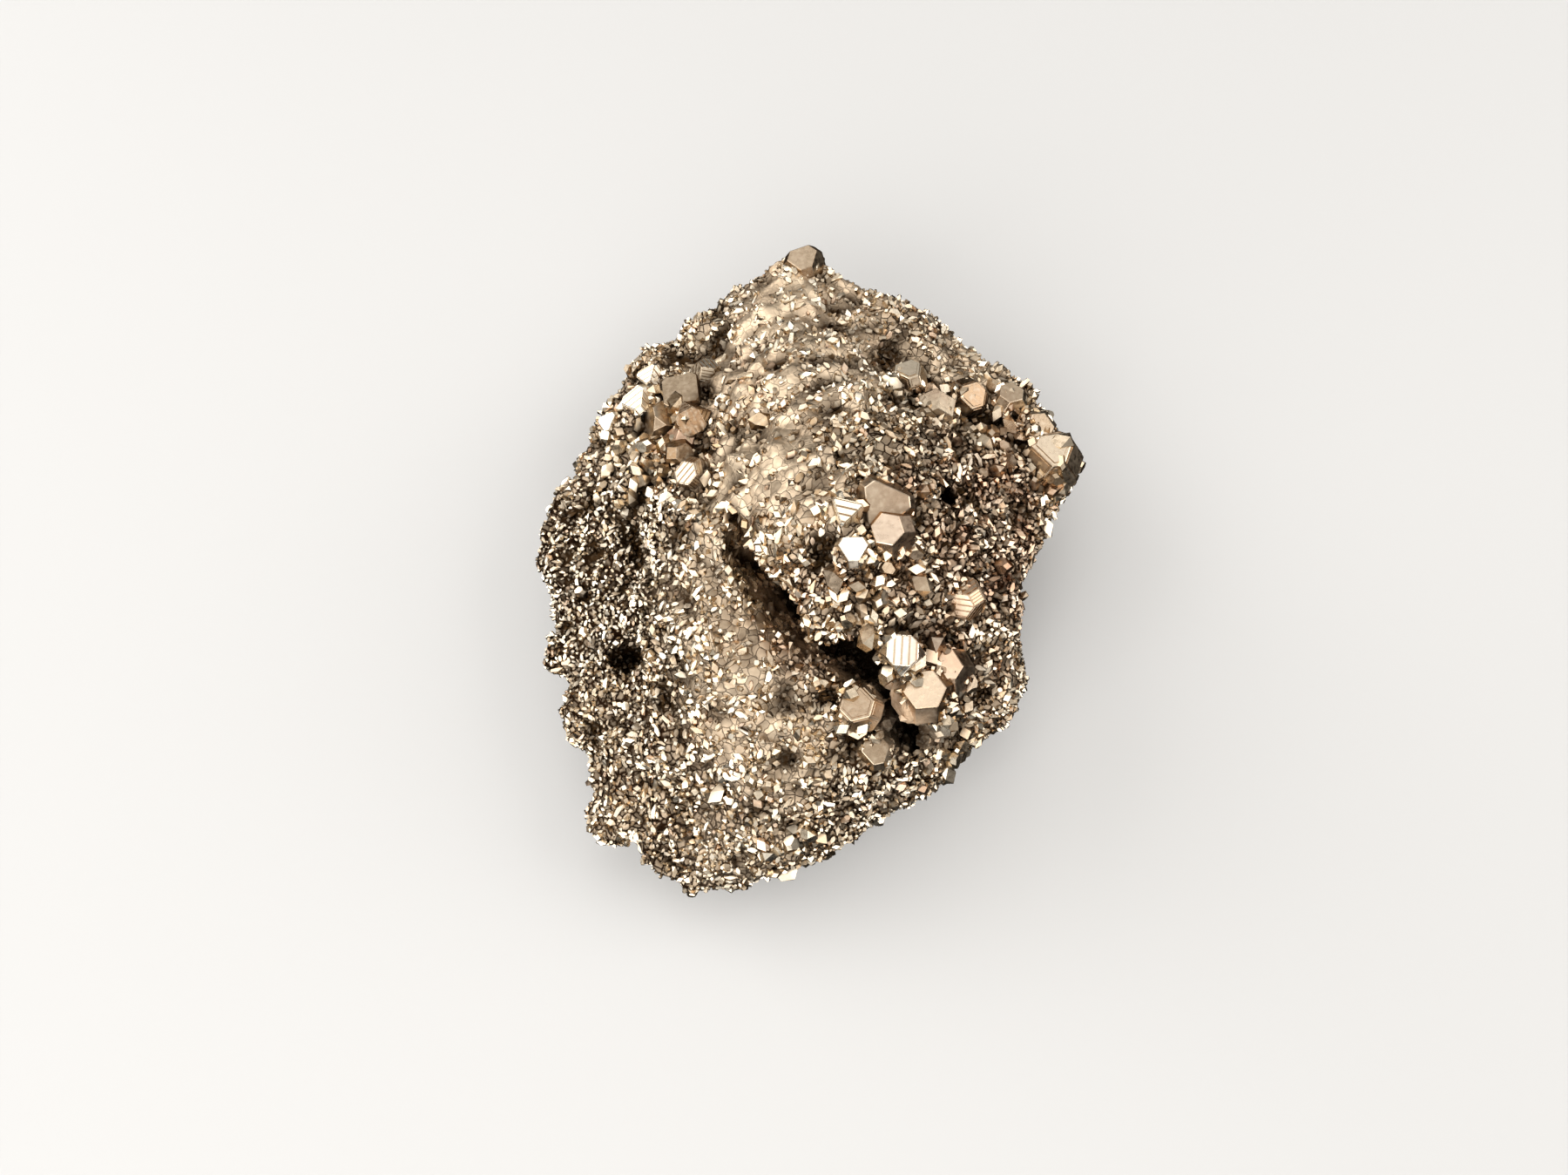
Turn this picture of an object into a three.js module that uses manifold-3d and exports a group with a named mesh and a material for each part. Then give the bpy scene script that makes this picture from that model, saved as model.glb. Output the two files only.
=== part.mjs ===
// Pyrite specimen: a hand-sized cluster of brassy iron sulphide that grew as one mass.
// Millimetres, +Z up, +Y along the length, origin at the centre of the flat underside.
// A lumpy body carries four grown ridges. A deep curved cleft undercuts the highest one,
// a furrow and two pits break the surface, and crystals stand out of it all over.
import * as THREE from "three";
import { ImprovedNoise } from "three/addons/math/ImprovedNoise.js";
import { ConvexGeometry } from "three/addons/geometries/ConvexGeometry.js";
import { mergeVertices } from "three/addons/utils/BufferGeometryUtils.js";
import Module from "manifold-3d";

const wasm = await Module();
wasm.setup();

// ---------------------------------------------------------------- driving dimensions
const RIM_HEIGHT = 11.5; // height of the widest contour at the middle of the length
const RIM_RISE = 3.5; // how much the contour climbs from the middle to the far tip
const FAR_TIP = 34; // distance from the centre to the far tip
const BODY_DETAIL = 14; // subdivisions of the icosahedron that becomes the body
const TOP_BEND = 2.6; // squareness of the bend from the rim to the top
const FOOT_BEND = 1.7; // and from the rim to the underside
const FOOT_DROP = 1.6; // how deep the underside bulges before it is cut flat, in rim heights
const LUMPS = [
  { size: 8.3, height: 1.3 },
  { size: 3.7, height: 1.1 },
  { size: 1.9, height: 1.1 },
  { size: 1.13, height: 0.9 },
];

// Plan outline at the widest contour, counter-clockwise from the right side.
const OUTLINE = [
  [22, -4.5], [24, 0], [27, 5], [28, 8.5], [26, 11], [25, 16], [21, 19.5],
  [16, 23.5], [13, 27], [9, 28], [5, 30], [1, 33.5], [-3, 31.5], [-7, 30], [-11, 26.5],
  [-15.5, 23], [-18, 19.5], [-20.5, 14.5], [-23.5, 9.5], [-26.5, 5], [-27.5, -1], [-25.5, -6],
  [-26, -10], [-25.5, -12.5], [-22.5, -14], [-24.5, -17], [-21, -21.5], [-21, -25.5],
  [-19.5, -28], [-16, -29], [-14, -32], [-8.5, -34], [-3, -32.5], [2, -31],
  [4.5, -29], [12, -25], [16, -21], [20, -18], [21.5, -14.5], [21.5, -10],
];

// Ridge lines of the top surface: points x, y, height, then how the slopes on both sides fall.
const SUMMIT_RIDGE = {
  line: [[0, 32, 16], [-1, 22, 21], [0, 12, 27], [3, 2, 33], [4.5, -6.5, 35], [3, -14, 31.5]],
  steep: 0.28, round: 0.034,
};
const LOWER_CREST = {
  line: [[-9, 25, 16], [-16.5, 17, 17.5], [-12.5, 3, 22.5], [-9.5, -6.5, 25], [-6, -15, 26.5],
    [-3.5, -21, 25], [-3, -26, 21], [-6, -31, 13]],
  steep: 0.4, round: 0.04,
};
const LEFT_SHOULDER = {
  line: [[-21, 9, 14.5], [-22, 0, 15.5], [-21, -8, 15], [-20, -16, 15], [-16, -24, 14.5]],
  steep: 0.55, round: 0.05,
};
const RIGHT_LOBE = {
  line: [[9, 25, 17], [19, 15.5, 18], [24.5, 8, 17], [20, 4, 20.5], [16.5, -3, 23],
    [14, -11, 23.5], [12, -18, 23], [8, -24, 16]],
  steep: 0.42, round: 0.04,
};
const CREASE = 1.1; // how softly two ridges' slopes meet

// The crest's side of the cleft lies lower than the summit's: points x, y, size of the step.
const STEP = [
  [-6.5, -2.5, 0], [-5, -7, 4], [-1.5, -11.5, 6.5], [2.5, -15, 6.5],
  [6.5, -18, 5], [8, -23, 2], [8, -27, 0],
];
// The furrow between the lower crest and the left shoulder.
const FURROW = {
  line: [[-14.5, 5], [-16.3, 0], [-16.5, -6], [-16.5, -12], [-12, -18]],
  deep: 3.5, wide: 1.7,
};

// The cleft's mouth in plan, and how far it drifts under the summit for each millimetre down.
const CLEFT_MOUTH = [
  [-7.2, -6.8], [-4.9, -11.4], [-2.4, -14.6], [-0.5, -16.5], [3.3, -18.9], [5, -21.5], [6.5, -25.5],
  [8.2, -24.5], [8.4, -20], [6.6, -16.4], [6.4, -14.2], [4.2, -14], [2.6, -14.2], [0, -11], [-2.7, -7.8],
  [-4.2, -4.4], [-5.6, -2.6],
];
const CLEFT_LEVEL = 28; // height at which the mouth is drawn
const CLEFT_FLOOR = 11;
const CLEFT_TOP = 44;
const CLEFT_LEAN = 0.27; // along both plan directions

// Pits: centre, then the three radii.
const PITS = [
  { at: [-17, -12.3, 15.5], size: [2.1, 1.8, 4] }, // the dark hole in the left slope
  { at: [13.2, -1.8, 24], size: [1.5, 2.2, 4.5] }, // the hole behind the summit
  { at: [-16.4, -0.5, 17.5], size: [0.7, 3.2, 3] }, // the slot at the head of the furrow
];

// The larger crystals: centre, width across, turns about X, Y and Z in degrees.
const CRYSTALS = [
  // bright crystals at the head of the lower crest
  { at: [-16.2, 14, 17.5], wide: 3.6, turn: [20, -35, 10] },
  { at: [-11.6, 13.1, 19], wide: 4.6, turn: [40, 10, 30] },
  { at: [-15.5, 17.4, 16], wide: 3, turn: [10, 40, 55] },
  { at: [-13.6, 10.7, 18.5], wide: 3.2, turn: [-20, 25, 15] },
  { at: [-10.4, 9.8, 21], wide: 2.8, turn: [35, 0, 70] },
  { at: [-11.3, 8.2, 20], wide: 2.8, turn: [5, 15, 30] },
  { at: [-11.6, 6, 21], wide: 3, turn: [15, -20, 40] },
  { at: [-10, 3.1, 22.5], wide: 3.2, turn: [50, 20, 0] },
  { at: [-19.6, 12.4, 15.5], wide: 3, turn: [-15, 35, 65] },
  { at: [-9.6, 16.5, 18], wide: 3, turn: [25, 10, 35] },
  // the summit group
  { at: [4.3, -6.2, 34.5], wide: 3, turn: [20, 15, 0] },
  { at: [7.2, -4.8, 32.5], wide: 5.4, turn: [-25, 10, 80] },
  { at: [7.9, -7.3, 33], wide: 3.6, turn: [30, 35, 20] },
  { at: [4.8, -9.2, 33.5], wide: 3.2, turn: [5, 50, 35] },
  { at: [2.2, -13.4, 29], wide: 3.8, turn: [45, -10, 60] },
  // the rounded crystals beside the cleft's lower end
  { at: [8.8, -16, 27], wide: 3.6, turn: [10, 5, 15] },
  { at: [10.7, -18.6, 23.5], wide: 5, turn: [54.7, 0, 45] },
  { at: [12.9, -16.4, 22.5], wide: 4.4, turn: [30, -30, 10] },
  { at: [5.2, -19.4, 22.5], wide: 4.4, turn: [25, 45, 20] },
  { at: [6.6, -22.8, 19.5], wide: 3.4, turn: [60, 10, 50] },
  // the right-hand rim and the upper right slope
  { at: [25.2, 7.6, 14.5], wide: 5.6, turn: [25, 50, 10] },
  { at: [23.8, 10.6, 15.5], wide: 4, turn: [70, 10, 40] },
  { at: [21.3, 13.8, 16], wide: 3.6, turn: [10, 60, 25] },
  { at: [11, 14.8, 19], wide: 3.8, turn: [35, 15, 60] },
  { at: [13.4, 10.8, 20], wide: 3.6, turn: [5, 35, 30] },
  { at: [17, 13.8, 16.5], wide: 4, turn: [55, -20, 5] },
  { at: [14.6, -10.6, 25.5], wide: 3.4, turn: [15, 25, 75] },
  // tips of the outline
  { at: [0.6, 31.4, 15], wide: 4.6, turn: [30, 30, 45] },
  { at: [-18.8, -26.8, 7.5], wide: 5, turn: [40, 0, 20] },
  { at: [-8.6, -31, 9.5], wide: 4.2, turn: [15, 55, 35] },
  { at: [-2, -30, 10], wide: 4.2, turn: [65, 20, 10] },
  { at: [-24.4, -10.4, 11], wide: 3.8, turn: [35, -25, 50] },
];

// Small crystals, spread like the seeds of a sunflower over the top and in rings on the sides.
const TOP_SMALL = { count: 31, least: 2, most: 3.4, reach: 0.97 };
const SIDE_RINGS = [
  { height: 4, count: 9, wide: 4.2, share: 0.78 },
  { height: 9.5, count: 13, wide: 3.8, share: 0.92 },
];
const GOLDEN_ANGLE = THREE.MathUtils.degToRad(137.508);

// ---------------------------------------------------------------- the surface
const noise = new ImprovedNoise();
function lump(x, y, z) {
  return LUMPS.reduce((sum, { size, height }, k) => {
    return sum + height * noise.noise(x / size, y / size, z / size + 10 * k);
  }, 0);
}

// The closest point of a polyline in plan: distance, the line's third value there, and the side.
function nearest(line, x, y) {
  let best = { distance: Infinity };
  for (let i = 0; i + 1 < line.length; i++) {
    const [ax, ay, az = 0] = line[i];
    const [bx, by, bz = 0] = line[i + 1];
    const along = ((x - ax) * (bx - ax) + (y - ay) * (by - ay)) / ((bx - ax) ** 2 + (by - ay) ** 2);
    const t = THREE.MathUtils.clamp(along, 0, 1);
    const distance = Math.hypot(x - ax - t * (bx - ax), y - ay - t * (by - ay));
    const side = Math.sign((bx - ax) * (y - ay) - (by - ay) * (x - ax));
    if (distance < best.distance) best = { distance, value: az + t * (bz - az), side };
  }
  return best;
}

function slope({ line, steep, round }, x, y) {
  const { distance, value } = nearest(line, x, y);
  return value - steep * distance - round * distance ** 2;
}

// Height of the top surface over a plan point: the ridges' slopes, softly joined, less the furrow.
function relief(x, y) {
  const step = nearest(STEP, x, y);
  const lowered = step.side < 0 ? step.value : 0;
  const heights = [
    slope(SUMMIT_RIDGE, x, y) - lowered,
    slope(LOWER_CREST, x, y),
    slope(LEFT_SHOULDER, x, y),
    slope(RIGHT_LOBE, x, y),
  ];
  const joined = CREASE * Math.log(heights.reduce((sum, h) => sum + Math.exp(h / CREASE), 0));
  const furrow = nearest(FURROW.line, x, y).distance / FURROW.wide;
  return joined - FURROW.deep * Math.exp(-(furrow ** 2));
}

// Distance from the centre to the outline, by heading.
const plan = (points) => points.map(([x, y]) => new THREE.Vector2(x, y));
const rim = new THREE.SplineCurve(plan([...OUTLINE, OUTLINE[0]]))
  .getSpacedPoints(720)
  .map((p) => ({ heading: p.angle(), reach: p.length() }))
  .sort((a, b) => a.heading - b.heading);
function rimReach(heading) {
  const whole = 2 * Math.PI;
  const turn = THREE.MathUtils.euclideanModulo(heading, whole);
  const next = (rim.findIndex((s) => s.heading >= turn) + rim.length) % rim.length;
  const after = rim[next];
  const before = rim[(next + rim.length - 1) % rim.length];
  const gap = THREE.MathUtils.euclideanModulo(after.heading - before.heading, whole) || 1;
  const part = THREE.MathUtils.euclideanModulo(turn - before.heading, whole) / gap;
  return THREE.MathUtils.lerp(before.reach, after.reach, part);
}

// ---------------------------------------------------------------- parts of the mass
// How far a surface has left the rim: 0 at the rim, 1 at the middle.
function inwards(out, bend) {
  return (1 - out ** bend) ** (1 / bend);
}

// The body: a ball pulled out to the outline and raised to the ridges.
function bodyGeometry() {
  const ball = new THREE.IcosahedronGeometry(1, BODY_DETAIL);
  ball.deleteAttribute("uv");
  ball.deleteAttribute("normal");
  const body = mergeVertices(ball, 1e-5);
  const at = body.attributes.position;
  for (let i = 0; i < at.count; i++) {
    const p = new THREE.Vector3().fromBufferAttribute(at, i);
    const out = Math.min(1, Math.hypot(p.x, p.y));
    const heading = Math.atan2(p.y, p.x);
    const x = rimReach(heading) * out * Math.cos(heading);
    const y = rimReach(heading) * out * Math.sin(heading);
    const level = RIM_HEIGHT + (RIM_RISE * y) / FAR_TIP;
    const rough = lump(x, y, 9 * p.z);
    const top = level + inwards(out, TOP_BEND) * (relief(x, y) - level) + rough;
    const under = level - inwards(out, FOOT_BEND) * FOOT_DROP * level + rough;
    const bulge = rough * (p.z >= 0 ? 0.5 : 0.5 - p.z);
    at.setXYZ(i, x + bulge * Math.cos(heading), y + bulge * Math.sin(heading), p.z >= 0 ? top : under);
  }
  return body;
}

// The cleft: its mouth drawn flat, extruded upwards, then leaned over.
function cleftGeometry() {
  const edge = new THREE.SplineCurve(plan([...CLEFT_MOUTH, CLEFT_MOUTH[0]]));
  const mouth = new THREE.Shape(edge.getPoints(40).slice(0, -1));
  const cleft = new THREE.ExtrudeGeometry(mouth, { depth: CLEFT_TOP - CLEFT_FLOOR, bevelEnabled: false });
  const drift = CLEFT_LEAN * (CLEFT_LEVEL - CLEFT_FLOOR);
  const lean = new THREE.Matrix4().makeShear(0, 0, 0, 0, -CLEFT_LEAN, -CLEFT_LEAN);
  return cleft.applyMatrix4(lean).translate(drift, drift, CLEFT_FLOOR);
}

function pitGeometry({ at, size }) {
  return new THREE.IcosahedronGeometry(1, 2).scale(...size).translate(...at);
}

// An octahedron with its six tips cut off, the habit of these crystals.
function crystalGeometry(wide, cut) {
  const far = wide / 2;
  const short = (far * (1 - cut)) / cut;
  const tips = [];
  for (const u of [-far, far])
    for (const v of [-short, short])
      tips.push([u, v, 0], [v, u, 0], [0, u, v], [0, v, u], [u, 0, v], [v, 0, u]);
  return new ConvexGeometry(tips.map((tip) => new THREE.Vector3(...tip)));
}

// A small crystal is a plain cube or a plain octahedron, by turns.
function smallGeometry(wide, k) {
  const side = 0.68 * wide;
  return k % 3 ? new THREE.OctahedronGeometry(0.6 * wide) : new THREE.BoxGeometry(side, side, side);
}

// A geometry turned about X, Y and Z in degrees, then moved.
function placed(geometry, turn, at) {
  const angles = turn.map((angle) => THREE.MathUtils.degToRad(angle));
  geometry.applyMatrix4(new THREE.Matrix4().makeRotationFromEuler(new THREE.Euler(...angles)));
  return geometry.translate(...at);
}

// ---------------------------------------------------------------- joining
// A three.js geometry as a solid that can be cut and joined, and back.
function solid(geometry) {
  const bare = geometry.clone();
  bare.deleteAttribute("normal");
  bare.deleteAttribute("uv");
  const merged = mergeVertices(bare, 1e-4);
  const vertProperties = merged.attributes.position.array;
  const triVerts = new Uint32Array(merged.index.array);
  return new wasm.Manifold(new wasm.Mesh({ numProp: 3, vertProperties, triVerts }));
}

function geometryOf(made) {
  const { vertProperties, triVerts } = made.getMesh();
  const geometry = new THREE.BufferGeometry();
  geometry.setAttribute("position", new THREE.BufferAttribute(vertProperties, 3));
  geometry.setIndex(new THREE.BufferAttribute(triVerts, 1));
  return geometry;
}

const floor = solid(new THREE.BoxGeometry(200, 200, 60).translate(0, 0, -30));
let carved = solid(bodyGeometry()).subtract(floor).subtract(solid(cleftGeometry()));
for (const pit of PITS) carved = carved.subtract(solid(pitGeometry(pit)));

// Looks down on the carved body to find where a small crystal is bedded.
const bothSides = new THREE.MeshBasicMaterial({ side: THREE.DoubleSide });
const ground = new THREE.Mesh(geometryOf(carved), bothSides);
function surfaceHeight(x, y) {
  const eye = new THREE.Raycaster(new THREE.Vector3(x, y, 100), new THREE.Vector3(0, 0, -1));
  return eye.intersectObject(ground)[0].point.z;
}

const crystals = CRYSTALS.map(({ at, wide, turn }, k) => {
  return solid(placed(crystalGeometry(wide, 0.58 + 0.05 * (k % 4)), turn, at));
});

for (let k = 0; k < TOP_SMALL.count; k++) {
  const heading = k * GOLDEN_ANGLE;
  const reach = rimReach(heading) * TOP_SMALL.reach * Math.sqrt((k + 0.5) / TOP_SMALL.count);
  const x = reach * Math.cos(heading);
  const y = reach * Math.sin(heading);
  const wide = THREE.MathUtils.lerp(TOP_SMALL.least, TOP_SMALL.most, ((k * 7) % 11) / 10);
  const at = [x, y, surfaceHeight(x, y)];
  crystals.push(solid(placed(smallGeometry(wide, k), [37 * k, 61 * k, 23 * k], at)));
}

SIDE_RINGS.forEach(({ height, count, wide, share }, ring) => {
  for (let k = 0; k < count; k++) {
    const heading = ((k + 0.5 * ring) / count) * 2 * Math.PI;
    const reach = rimReach(heading) * share;
    const at = [reach * Math.cos(heading), reach * Math.sin(heading), height];
    crystals.push(solid(placed(smallGeometry(wide, k), [41 * k, 67 * k, 40 * ring], at)));
  }
});

// The joined mass, cut flat again underneath, with its box centred over the origin.
const mass = wasm.Manifold.union([carved, ...crystals]).subtract(floor);
const geometry = geometryOf(mass);
geometry.computeBoundingBox();
const centre = geometry.boundingBox.getCenter(new THREE.Vector3());
geometry.translate(-centre.x, -centre.y, -geometry.boundingBox.min.z);
geometry.computeVertexNormals();

const pyrite = new THREE.MeshStandardMaterial({ color: 0xb79c74, metalness: 1, roughness: 0.32 });
pyrite.flatShading = true;
const cluster = new THREE.Mesh(geometry, pyrite);
cluster.name = "pyrite_cluster";

const specimen = new THREE.Group();
specimen.name = "pyrite_specimen";
specimen.add(cluster);

export default specimen;
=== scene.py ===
import itertools
import math

import bmesh
import bpy
import numpy as np
from mathutils import Matrix, Vector


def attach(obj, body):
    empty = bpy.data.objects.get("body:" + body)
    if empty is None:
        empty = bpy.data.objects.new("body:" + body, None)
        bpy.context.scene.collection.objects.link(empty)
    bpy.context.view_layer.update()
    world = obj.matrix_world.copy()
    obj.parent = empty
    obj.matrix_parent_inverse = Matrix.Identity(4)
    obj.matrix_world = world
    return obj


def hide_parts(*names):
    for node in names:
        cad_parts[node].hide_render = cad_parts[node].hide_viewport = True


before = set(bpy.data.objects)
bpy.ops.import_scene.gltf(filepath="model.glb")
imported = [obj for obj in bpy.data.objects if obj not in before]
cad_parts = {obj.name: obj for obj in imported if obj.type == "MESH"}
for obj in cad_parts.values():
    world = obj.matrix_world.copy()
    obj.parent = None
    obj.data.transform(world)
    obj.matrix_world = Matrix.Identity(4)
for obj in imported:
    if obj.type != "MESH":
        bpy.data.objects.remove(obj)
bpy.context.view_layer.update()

MM = 0.001

# ------------------------------------------------------------------ the large crystals
# A few dozen crystals three to six millimetres across stand out of the lump: octahedra of iron
# sulphide whose tips are cut off by cube faces. Growth left low terraces on some faces and
# straight ribs, called striations, on others. They grew out of the mass and are one with it.
DRAWN_TO_FRAME = Vector((-0.40, 0.24, 0)) * MM
LARGE = [
    # centre and width in millimetres, how far the tips are cut, turns about X, Y and Z in
    # degrees, finish, brightness, rosiness, how far up the crust covers it
    ((-16.2, 13.6, 17.7), 3.8, 0.80, (48, 4, 81), "ribbed", 1.00, 0.0, 0.3),
    ((-11.6, 13.1, 19.2), 3.5, 0.12, (-9, -6, 8), "plain", 0.18, 0.0, 0.0),
    ((-15.5, 17.4, 16.2), 3.2, 0.85, (53, -3, 75), "ribbed", 0.95, 0.0, 0.3),
    ((-13.6, 10.7, 18.5), 3.2, 0.30, (-20, 25, 15), "plain", 0.45, 0.1, 0.3),
    ((-10.4, 9.8, 21.0), 2.8, 0.40, (35, 0, 70), "ribbed", 0.20, 0.1, 0.4),
    ((-11.3, 8.2, 20.0), 2.8, 0.55, (5, 15, 30), "plain", 0.65, 0.9, 0.3),
    ((-11.6, 6.0, 21.0), 3.0, 0.66, (15, -20, 40), "plain", 0.15, 0.0, 0.4),
    ((-10.0, 3.1, 22.5), 3.2, 0.66, (50, 20, 0), "ribbed", 0.75, 0.1, 0.5),
    ((-19.6, 12.4, 15.5), 3.0, 0.80, (56, -11, 70), "plain", 0.95, 0.0, 0.4),
    ((-9.6, 16.5, 18.0), 3.0, 0.63, (25, 10, 35), "ribbed", 0.65, 0.0, 0.6),
    ((4.3, -6.2, 34.5), 3.2, 0.90, (54, -12, 36), "ribbed", 1.00, 0.0, 0.4),
    ((7.2, -4.8, 32.5), 5.6, 0.80, (68, -16, 25), "plain", 0.62, 0.15, 0.35),
    ((7.9, -7.3, 33.0), 3.8, 0.66, (68, -18, 47), "plain", 0.65, 0.5, 0.35),
    ((4.8, -9.2, 33.5), 3.2, 0.75, (55, 0, 45), "plain", 0.95, 0.0, 0.6),
    ((8.8, -16.0, 27.3), 2.7, 0.36, (2, 0, 130), "ribbed", 1.00, 0.0, 0.3),
    ((10.7, -18.6, 23.5), 5.0, 0.66, (56, 4, 47), "plain", 0.36, 0.2, 0.72),
    ((12.9, -16.4, 22.5), 4.4, 0.63, (50, -8, 50), "plain", 0.42, 0.1, 0.72),
    ((5.2, -19.4, 22.5), 4.2, 0.68, (25, 45, 20), "terraced", 0.50, 0.1, 0.66),
    ((6.6, -22.8, 19.5), 3.4, 0.73, (60, 10, 50), "plain", 0.50, 0.0, 0.7),
    ((25.2, 7.6, 14.5), 5.6, 0.58, (25, 50, 10), "terraced", 0.55, 0.1, 0.66),
    ((23.8, 10.6, 15.5), 4.0, 0.63, (70, 10, 40), "plain", 0.50, 0.0, 0.8),
    ((21.3, 13.8, 16.0), 3.6, 0.68, (10, 60, 25), "plain", 0.60, 0.0, 0.9),
    ((11.0, 14.8, 19.0), 3.8, 0.73, (35, 15, 60), "terraced", 0.60, 0.0, 0.85),
    ((13.4, 10.8, 20.0), 3.6, 0.58, (5, 35, 30), "plain", 0.60, 0.0, 0.9),
    ((17.0, 13.8, 16.5), 4.0, 0.63, (55, -20, 5), "terraced", 0.30, 0.0, 0.9),
    ((14.6, -10.6, 25.5), 3.4, 0.68, (15, 25, 75), "ribbed", 0.40, 0.2, 0.85),
    ((0.6, 31.4, 15.0), 4.6, 0.73, (50, 8, 60), "plain", 0.22, 0.1, 0.5),
]
PROUD = 1.03  # the shown crystal just covers the solid model's
FACES = 14  # six cube faces and eight octahedron faces
RIBS = 4
GROOVE_SHADE = 0.8  # painted shade: how much darker the foot of a rib is
STEP, SOFT_EDGE = 0.015, 0.012  # height of a growth step and width of a bevel, per width


def cut_octahedron(width, cut, stretch=(1, 1, 1)):
    """An octahedron whose tips are cut off; cut is 0.5 at its edges' middles and 1 at its tips.

    Below 0.5 it is a cube whose corners are cut off, the more so the nearer to 0.5.
    """
    far = width / 2
    short = far * (1 - cut) / cut if cut >= 0.5 else far
    third = 0 if cut >= 0.5 else far * (1 - 2 * cut)
    bm = bmesh.new()
    for signs in itertools.product((-1, 1), repeat=3):
        for tip in itertools.permutations((far, short, third)):
            bm.verts.new([a * b * c for a, b, c in zip(tip, signs, stretch)])
    bmesh.ops.remove_doubles(bm, verts=bm.verts, dist=0.01 * width)
    bmesh.ops.convex_hull(bm, input=bm.verts)
    bmesh.ops.dissolve_limit(bm, angle_limit=0.01, verts=bm.verts, edges=bm.edges)
    bm.normal_update()
    return bm


def terraced(bm, face, step):
    """A low plate on a face, inside its rim."""
    tint = bm.faces.layers.float["tint"]
    bmesh.ops.inset_individual(bm, faces=[face], thickness=2.4 * step, depth=0)
    rise = bmesh.ops.inset_individual(bm, faces=[face], thickness=0.4 * step, depth=step)
    # Painted shade on the plate's sides.
    for side in rise["faces"]:
        side[tint] -= 0.3 * GROOVE_SHADE


def ribbed(bm, face, step, ribs):
    """Straight ribs along a face's longest edge."""
    edge = max(face.edges, key=lambda e: e.calc_length())
    run = (edge.verts[0].co - edge.verts[1].co).normalized()
    normal = face.normal.copy()
    across = normal.cross(run)
    middle = face.calc_center_median()
    reach = max(abs((v.co - middle).dot(across)) for v in face.verts)
    strips = [face]
    for k in range(1, 2 * ribs):
        at = middle + across * reach * ((k + 0.5 * (k % 2)) / ribs - 1)
        near = {e for f in strips for e in f.edges} | {v for f in strips for v in f.verts}
        bmesh.ops.bisect_plane(bm, geom=strips + list(near), plane_co=at, plane_no=across)
        level = (f for f in bm.faces if f.normal.dot(normal) > 0.9999)
        strips = [f for f in level if abs((f.calc_center_median() - middle).dot(normal)) < 1e-6]
    tint = bm.faces.layers.float["tint"]
    crowns = []
    for strip in strips:
        at = (strip.calc_center_median() - middle).dot(across) / reach
        # Painted shade at the foot of each rib.
        if (at + 1) * ribs % 2 > 1.5:
            strip[tint] -= GROOVE_SHADE
        else:
            crowns.append(strip)
    bmesh.ops.inset_individual(bm, faces=crowns, thickness=0.2 * step, depth=step)


def grown(width, cut, finish, brightness):
    """One crystal at the origin with its growth marks, each face a little brighter or darker,
    partly a tone of its own and partly a painted reflection.
    """
    bm = cut_octahedron(width, cut)
    tint = bm.faces.layers.float.new("tint")
    bmesh.ops.bevel(bm, geom=bm.edges, offset=SOFT_EDGE * width, segments=1, affect="EDGES")
    bm.normal_update()
    wide = sorted(bm.faces, key=lambda f: -f.calc_area())[:FACES]
    for face in bm.faces:
        face[tint] = brightness
    step = STEP * width
    for k, face in enumerate(wide):
        face[tint] = brightness + 0.2 * math.sin(2.4 * k)
        if finish == "ribbed":
            ribbed(bm, face, step, RIBS)
        elif finish == "terraced":
            terraced(bm, face, 1.3 * step)
    return bm


def turned(degrees):
    """Turns about X, Y and Z, the one about Z made first."""
    spin = Matrix.Identity(4)
    for angle, axis in zip(degrees, "XYZ"):
        spin = spin @ Matrix.Rotation(math.radians(angle), 4, axis)
    return spin


def box_map(mesh):
    """A map of six views, each face on the one it faces most, for a skin of many small faces."""
    corners = np.empty(len(mesh.loops), np.int64)
    mesh.loops.foreach_get("vertex_index", corners)
    place = np.empty(len(mesh.vertices) * 3)
    mesh.vertices.foreach_get("co", place)
    place = place.reshape(-1, 3)
    place = (place - place.min(0)) / (place.max(0) - place.min(0)).max()
    facing = np.empty(len(mesh.polygons) * 3)
    mesh.polygons.foreach_get("normal", facing)
    facing = facing.reshape(-1, 3)
    axis = np.abs(facing).argmax(1)
    side = (facing[np.arange(len(axis)), axis] > 0).astype(int)
    counts = np.empty(len(mesh.polygons), np.int64)
    mesh.polygons.foreach_get("loop_total", counts)
    axis = np.repeat(axis, counts)
    side = np.repeat(side, counts)
    at = place[corners]
    seen_along = {0: at[:, [1, 2]], 1: at[:, [0, 2]], 2: at[:, :2]}
    flat = np.select([(axis == k)[:, None] for k in seen_along], list(seen_along.values()))
    cell = np.stack([axis, side], 1)
    uv = (flat * 0.96 + 0.02 + cell) / np.array([3, 2])
    layer = mesh.uv_layers.new(name="OFBake")
    layer.uv.foreach_set("vector", uv.astype(np.float32).ravel())


whole = bmesh.new()
whole.faces.layers.float.new("tint")
rosy = whole.verts.layers.float.new("rosy")
bare = whole.verts.layers.float.new("bare")
for centre, width, cut, turn, finish, brightness, rosiness, cover in LARGE:
    one = bpy.data.meshes.new("one")
    bm = grown(width * MM * PROUD, cut, finish, brightness)
    bm.to_mesh(one)
    bm.free()
    first = len(whole.verts)
    whole.from_mesh(one)
    bpy.data.meshes.remove(one)
    whole.verts.ensure_lookup_table()
    middle = Vector(centre) * MM + DRAWN_TO_FRAME
    spin = Matrix.Translation(middle) @ turned(turn)
    outward = Vector((0.5 * middle.x, 0.5 * middle.y, middle.z)).normalized()
    for vert in whole.verts[first:]:
        vert[rosy] = rosiness
        vert.co = spin @ vert.co
        vert[bare] = (vert.co - middle).dot(outward) / (width * MM / 2) - cover
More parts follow.
